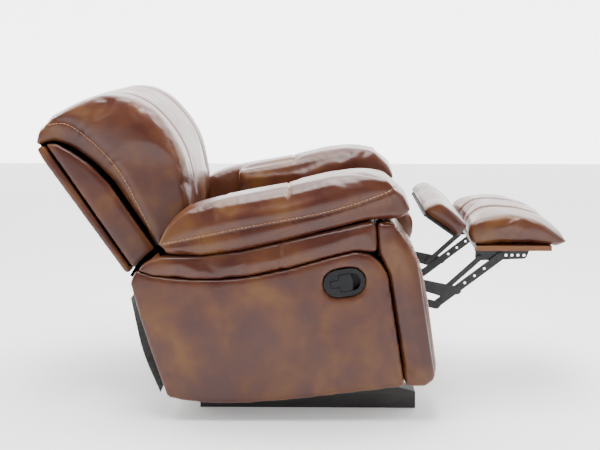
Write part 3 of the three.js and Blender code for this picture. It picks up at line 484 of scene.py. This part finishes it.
def swell(obj, seams, pressure, cap):
    """Swells a closed piece by cloth pressure while its seams are held, then makes it real."""
    mesh = obj.data
    start = points_of(mesh)
    held = np.zeros(len(start))
    for path in seams:
        held = np.maximum(held, np.exp(-(distance_to(start, path) / SEAM_HOLD) ** 2))
    group = obj.vertex_groups.new(name="seams")
    for i in np.flatnonzero(held > 0.25):
        group.add([int(i)], float(min(1.0, held[i] * 1.4)), "REPLACE")
    cloth = obj.modifiers.new("cloth", "CLOTH")
    settings = cloth.settings
    settings.quality = 4
    settings.mass = 0.3
    settings.tension_stiffness = 18
    settings.compression_stiffness = 14
    settings.shear_stiffness = 8
    settings.bending_stiffness = 1.6
    settings.use_pressure = True
    settings.uniform_pressure_force = pressure
    settings.effector_weights.gravity = 0
    if seams:
        settings.vertex_group_mass = "seams"
    scene = bpy.context.scene
    cloth.point_cache.frame_start = 1
    cloth.point_cache.frame_end = CLOTH_FRAMES
    for number in range(1, CLOTH_FRAMES + 1):
        scene.frame_set(number)
    swollen = points_of(applied(obj))
    move = swollen - start
    length = np.linalg.norm(move, axis=1)[:, None]
    move *= cap * np.tanh(length / cap) / np.maximum(length, 1e-9)
    set_points(obj.data, start + move)
    scene.frame_set(1)


def tree_of(nodes):
    """One search tree over the faces of several CAD nodes, or None for no nodes."""
    places, faces = [], []
    for node in nodes:
        faces += [[len(places) + i for i in polygon.vertices] for polygon in node.data.polygons]
        places += [node.matrix_world @ vertex.co for vertex in node.data.vertices]
    return BVHTree.FromPolygons(places, faces) if faces else None


def neighbours_of(node, reach=0.03):
    """The CAD nodes whose boxes come within reach of this one's."""
    low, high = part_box(node)
    found = []
    for other, obj in NODES.items():
        if other == node:
            continue
        other_low, other_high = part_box(other)
        if all(other_low[a] < high[a] + reach and other_high[a] > low[a] - reach
               for a in range(3)):
            found.append(obj)
    return found


def rising(value, start, end):
    """0 before start and 1 after end, with a smooth rise between; start may be above end."""
    share = min(1.0, max(0.0, (value - start) / (end - start)))
    return share * share * (3 - 2 * share)


def kept_clear(mesh, node, freely, tight):
    """Lets a piece stand out of its own solid only where nothing is near or passes by.

    tight(place) is 1 where another body passes and 0 where the leather is free.
    """
    own = tree_of([NODES[node]])
    others = tree_of(neighbours_of(node))
    points = points_of(mesh)
    for i, p in enumerate(points):
        place, normal, _, _ = own.find_nearest(Vector(p))
        out = (Vector(p) - place).dot(normal)
        room = others.find_nearest(place)[3] if others else 1.0
        allowed = min(freely * (1 - tight(place)), 0.45 * room) - CLEARANCE
        if out > allowed:
            points[i] = place + normal * allowed
    set_points(mesh, points)


def pad(node, voxel=0.006, shrink=0.0004, rounds=4, seams=(), pressure=4.0,
        cap=0.012, fill=0.6, tight=lambda place: 0.0):
    """A padded leather piece grown from a soft CAD solid, without its stitching yet."""
    obj = new_object(node + "_leather", NODES[node].data.copy())
    obj.data.materials.clear()
    remeshed(obj, voxel)
    mesh = obj.data
    smoothed(mesh, rounds)
    set_points(mesh, points_of(mesh) - normals_of(mesh) * shrink)
    if pressure:
        swell(obj, seams, pressure, cap)
    smoothed(obj.data, 2, 0.4)
    kept_clear(obj.data, node, cap, tight)
    obj.data.materials.clear()
    obj.data.materials.append(LEATHER)
    obj["fill"] = fill
    obj["node"] = node
    obj["body"] = NODES[node]["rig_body"]
    return obj


def finish_pad(obj):
    """Subdivides a padded piece and tells the frame what it is."""
    subdivision = obj.modifiers.new("subdivision", "SUBSURF")
    subdivision.levels = subdivision.render_levels = 1
    applied(obj)
    for polygon in obj.data.polygons:
        polygon.use_smooth = True
    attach(obj, obj["body"])
    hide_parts(obj["node"])
    return obj


def row_beside(mesh, seam, towards, offset):
    """A line on the leather that runs beside a seam."""
    across = np.cross(np.gradient(seam, axis=0), towards)
    across /= np.linalg.norm(across, axis=1)[:, None]
    return laid_on(mesh, seam + offset * across, towards)


def stitches(name, body, lines):
    """Rows of thread: each line is (places on the leather, normals there)."""
    mesh = bmesh.new()
    sides = 5
    for places, normals in lines:
        reach = np.r_[0, np.cumsum(np.linalg.norm(np.diff(places, axis=0), axis=1))]
        count = int(reach[-1] / STITCH_PITCH)
        for k in range(count):
            ends = []
            for s in (k * STITCH_PITCH, k * STITCH_PITCH + STITCH_LENGTH):
                place = np.array([np.interp(s, reach, places[:, c]) for c in range(3)])
                normal = np.array([np.interp(s, reach, normals[:, c]) for c in range(3)])
                ends.append((place, normal / max(np.linalg.norm(normal), 1e-9)))
            (start, up), (end, _) = ends
            run = end - start
            side = np.cross(run / max(np.linalg.norm(run), 1e-9), up)
            middle = (start + end) / 2 + up * 1.1 * THREAD_RADIUS
            rings = []
            for place, size in ((start, 0.5), (middle, 1.0), (end, 0.5)):
                rings.append([mesh.verts.new(place + THREAD_RADIUS * size * (
                    side * math.cos(2 * math.pi * i / sides) + up * math.sin(2 * math.pi * i / sides)))
                    for i in range(sides)])
            for ring, following in zip(rings[:-1], rings[1:]):
                for i in range(sides):
                    j = (i + 1) % sides
                    mesh.faces.new((ring[i], ring[j], following[j], following[i]))
            mesh.faces.new(rings[0][::-1])
            mesh.faces.new(rings[-1])
    obj = built(name, mesh, THREAD, smooth=True)
    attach(obj, body)
    return obj


# ---- Camera, light and floor ----

def make_camera():
    data = bpy.data.cameras.new("camera")
    data.sensor_width = 36
    data.lens = CAMERA_LENS
    data.dof.use_dof = False
    camera = bpy.data.objects.new("camera", data)
    bpy.context.scene.collection.objects.link(camera)
    camera.location = CAMERA_PLACE
    pitch, yaw = CAMERA_PITCH, CAMERA_YAW
    aim = Vector((math.cos(pitch) * math.cos(yaw), math.cos(pitch) * math.sin(yaw),
                  -math.sin(pitch)))
    camera.rotation_euler = aim.to_track_quat("-Z", "Y").to_euler()
    bpy.context.scene.camera = camera


def make_light(name, place, towards, size, power):
    data = bpy.data.lights.new(name, "AREA")
    data.shape = "RECTANGLE"
    data.size, data.size_y = size
    data.energy = power
    light = bpy.data.objects.new(name, data)
    bpy.context.scene.collection.objects.link(light)
    light.location = place
    light.rotation_euler = (Vector(towards) - Vector(place)).to_track_quat("-Z", "Y").to_euler()


def make_studio():
    """Area lights overhead and on each side of the camera, a floor and a glowing backdrop."""
    make_light("overhead", (-0.35, 0.1, 2.7), (0, 0, 0.5), (1.5, 2.2), 148)
    make_light("side", (-3.3, 2.1, 2.2), (0, 0.1, 0.5), (1.3, 1.3), 15)
    make_light("front", (-2.2, -3.2, 1.9), (0, -0.2, 0.5), (1.2, 1.4), 32)
    world = bpy.data.worlds.new("world")
    world.use_nodes = True
    world.node_tree.nodes["Background"].inputs["Color"].default_value = (1, 1, 1, 1)
    world.node_tree.nodes["Background"].inputs["Strength"].default_value = 0.30
    bpy.context.scene.world = world
    bpy.ops.mesh.primitive_plane_add(size=STAGE_SIZE, location=(0, 0, LOW.z - 0.0006))
    floor = bpy.context.object
    floor.name = "floor"
    floor.data.materials.append(stage_material("floor", FLOOR_GLOW))
    bpy.ops.mesh.primitive_plane_add(size=STAGE_SIZE, location=(BACKDROP_PLACE, 0, 0),
                                     rotation=(0, math.pi / 2, 0))
    backdrop = bpy.context.object
    backdrop.name = "backdrop"
    backdrop.data.materials.append(stage_material("backdrop", BACKDROP_GLOW))


# ---- The chair's leather ----

def both_sides(build):
    for side, word in ((-1, "right"), (1, "left")):
        build(side, word)


def seam_path(side, x, points, count=120):
    """A seam drawn in side view, [forward, up] in the level frame, at half-width x."""
    return spline([from_level(side * x, f, u) for f, u in points], count)


ARM_SEAM = [(-393, 548), (-170, 575), (80, 602), (238, 639), (273, 659)]
SHADE_STRIP_PLACE = 450                    # half-width at which the painted-shade strips lie, inside the leather
SHADE_STRIP_REACH = 9                      # to each side of the joint
FRONT_SEAM = [(234, 576), (287, 530), (317, 440), (344, 98)]


def build_arm_pad(side, word):
    """The arm's pillow; its inner rear face is where the back passes."""
    inner = min(abs(corner.x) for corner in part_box(f"arm_pad_{word}")) + 0.06
    seam = seam_path(side, 475, ARM_SEAM)
    cross = spline([from_level(side * x, -26, 730) for x in (466, 380, 280)], 50)
    obj = pad(f"arm_pad_{word}", seams=[seam], pressure=4.5, cap=0.010, rounds=5,
              tight=lambda place: rising(abs(place.x), inner + 0.03, inner)
              * rising(place.y, 0.0, 0.06))
    seam_on, _ = laid_on(obj.data, seam, (-side, 0, 0))
    cross_on, _ = laid_on(obj.data, cross, (0, 0, -1))
    groove(obj.data, seam_on, 0.0045, 0.005)
    groove(obj.data, cross_on, 0.0045, 0.005)
    gathers(obj.data, seam_on, 0.0012, 0.020, 0.017, 11 + side)
    finish_pad(obj)
    rows = [row_beside(obj.data, seam, (-side, 0, 0), -side * SEAM_TO_STITCH)]
    rows += [row_beside(obj.data, cross, (0, 0, -1), offset)
             for offset in (SEAM_TO_STITCH, -SEAM_TO_STITCH)]
    stitches(f"arm_pad_stitching_{word}", "carcass", rows)


def build_front_pad(side, word):
    seam = seam_path(side, 465, FRONT_SEAM)
    obj = pad(f"arm_front_pad_{word}", seams=[seam], pressure=4.0, cap=0.008)
    seam_on, _ = laid_on(obj.data, seam, (-side, 0, 0))
    groove(obj.data, seam_on, 0.0040, 0.005)
    gathers(obj.data, seam_on[:50], 0.0012, 0.020, 0.016, 31 + side)
    finish_pad(obj)
    stitches(f"arm_front_stitching_{word}", "carcass",
             [row_beside(obj.data, seam, (-side, 0, 0), -side * SEAM_TO_STITCH)])


def build_arm_sides(side, word):
    finish_pad(pad(f"arm_side_panel_{word}", voxel=0.008, shrink=0.0, rounds=3, pressure=0,
                   fill=0.4))
    obj = pad(f"arm_band_{word}", rounds=4, pressure=4.0, cap=0.006)
    cut = seam_path(side, 475, [(-68, 521), (-69, 452)], 40)
    cut_on, _ = laid_on(obj.data, cut, (-side, 0, 0))
    groove(obj.data, cut_on, 0.0035, 0.004)
    finish_pad(obj)
    finish_pad(pad(f"arm_inner_panel_{word}", voxel=0.009, shrink=0.0, rounds=3, pressure=0,
                   fill=0.3))


def build_back():
    side_seams = {}
    for side in (-1, 1):
        side_seams[side] = spline([from_back(side * 320, a, b) for a, b in (
            (-43, 580), (29, 541), (66, 440), (78, 336), (66, 230), (53, 137))], 140)
    front_seams = [spline([from_back(x, a, b) for a, b in (
        (178, 535), (264, 390), (255, 260), (192, 162))], 110)
        for x in (-190, 190)]
    obj = pad("back_cushion", voxel=0.009, shrink=0.001, rounds=8, pressure=4.5, cap=0.022,
              seams=[*side_seams.values(), *front_seams], fill=0.7,
              tight=lambda place: rising(abs(place.x), 0.20, 0.26)
              * rising(place.z, 0.84, 0.72))
    for side, seam in side_seams.items():
        on, _ = laid_on(obj.data, seam, (-side, 0, 0))
        groove(obj.data, on, 0.0060, 0.007)
        gathers(obj.data, on[:90], 0.0036, 0.030, 0.021, 51 + side)
    into_back = from_back(0, -1, 0) - from_back(0, 0, 0)
    for seam in front_seams:
        on, _ = laid_on(obj.data, seam, into_back)
        groove(obj.data, on, 0.0070, 0.009)
    finish_pad(obj)
    stitches("back_stitching", "back",
             [row_beside(obj.data, seam, (-side, 0, 0), side * SEAM_TO_STITCH)
              for side, seam in side_seams.items()])
    for node in ("back_rear_panel", "back_side_border_right", "back_side_border_left",
                 "back_top_border"):
        finish_pad(pad(node, voxel=0.007, shrink=0.0, rounds=3, pressure=0, fill=0.4))


def build_back_seam_shade():
    """Black cloth behind the side seams of the back: painted shade that keeps the seam gaps dark, so that
    no light shows through them.
    """
    half_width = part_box("back_side_border_left")[0].x / MM - 6
    outline = [(-80, 88), (60, 88), (90, 200), (60, 470), (-20, 560), (-78, 535)]
    for side, word in ((-1, "right"), (1, "left")):
        mesh = bmesh.new()
        mesh.faces.new([mesh.verts.new(from_back(side * half_width, a, b)) for a, b in outline])
        bmesh.ops.solidify(mesh, geom=mesh.faces[:], thickness=0.0015)
        obj = built(f"back_seam_shade_sheet_{word}", mesh, CLOTH)
        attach(obj, "back")


# Lines of the black strips that stand in for the shade in the arm's joints (painted shade).
JOINT_SHADE_LINES = {
    "panel": [(-490, 476), (-252, 434), (-44, 449), (142, 482), (214, 448), (233, 400), (252, 100)],
    "pillow": [(-404, 540), (-380, 512), (-179, 511), (182, 566)],
    "front": [(216, 568), (226, 520), (228, 460), (232, 420)],
    "rear": [(-493, 462), (-470, 492), (-430, 525), (-400, 545)],
}


def build_joint_shade_strips(side, word):
    """Black strips behind the joints of the arm's outer leather: painted shade that closes the gaps and
    keeps them dark.
    """
    mesh = bmesh.new()
    for line in JOINT_SHADE_LINES.values():
        middle = spline([(f, u) for f, u in line], 60)
        run = np.gradient(middle, axis=0)
        across = np.c_[-run[:, 1], run[:, 0]] / np.linalg.norm(run, axis=1)[:, None]
        edges = [[mesh.verts.new(from_level(side * SHADE_STRIP_PLACE, *(place + reach * step)))
                  for place, step in zip(middle, across)] for reach in (-SHADE_STRIP_REACH, SHADE_STRIP_REACH)]
        for k in range(len(middle) - 1):
            mesh.faces.new((edges[0][k], edges[0][k + 1], edges[1][k + 1], edges[1][k]))
    bmesh.ops.solidify(mesh, geom=mesh.faces[:], thickness=0.0012)
    obj = built(f"joint_shade_strip_{word}", mesh, CLOTH)
    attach(obj, "carcass")


def build_seat():
    finish_pad(pad("seat_cushion", voxel=0.010, shrink=0.001, rounds=8, pressure=4.0,
                   cap=0.015, fill=0.7))
    finish_pad(pad("middle_pad", voxel=0.006, rounds=5, pressure=3.5, cap=0.006))


def build_footrest():
    low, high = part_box("footrest_pad")
    top = high.z + 0.03
    channels = [spline([Vector((x, low.y + 0.02, top)), Vector((x, high.y - 0.02, top))], 60)
                for x in (-0.085, 0.085)]
    obj = pad("footrest_pad", voxel=0.0065, shrink=0.001, rounds=8, seams=channels,
              pressure=4.5, cap=0.018, fill=0.7)
    for path in channels:
        on, _ = laid_on(obj.data, path, (0, 0, -1))
        groove(obj.data, on, 0.0080, 0.009)
        gathers(obj.data, on, 0.0012, 0.022, 0.016, 71)
    finish_pad(obj)


def build_dust_cover():
    """Black cloth behind the carcass, a little slack between its tacked edges."""
    low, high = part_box("rear_dust_cover")
    profile = spline([from_level(0, f, u) for f, u in (
        (-454, 110), (-491, 240), (-509, 397))], 40)
    columns = 120
    mesh = bmesh.new()
    rows = []
    for up, (_, y, z) in enumerate(profile):
        slack_up = math.sin(math.pi * up / (len(profile) - 1))
        row = []
        for k in range(columns + 1):
            share = k / columns
            folds = 0.5 * math.sin(29 * share + 3 * slack_up) + 0.5 * math.sin(53 * share)
            bulge = 0.003 * math.sin(math.pi * share) * slack_up * folds
            row.append(mesh.verts.new((low.x + (high.x - low.x) * share, y + bulge, z)))
        rows.append(row)
    for row, following in zip(rows[:-1], rows[1:]):
        for k in range(columns):
            mesh.faces.new((row[k], row[k + 1], following[k + 1], following[k]))
    obj = built("rear_dust_cloth", mesh, CLOTH, smooth=True)
    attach(obj, "carcass")
    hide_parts("rear_dust_cover")


make_camera()
make_studio()
dress_cad()
both_sides(build_arm_sides)
both_sides(build_arm_pad)
both_sides(build_front_pad)
both_sides(build_joint_shade_strips)
build_back()
build_back_seam_shade()
build_seat()
build_footrest()
build_dust_cover()
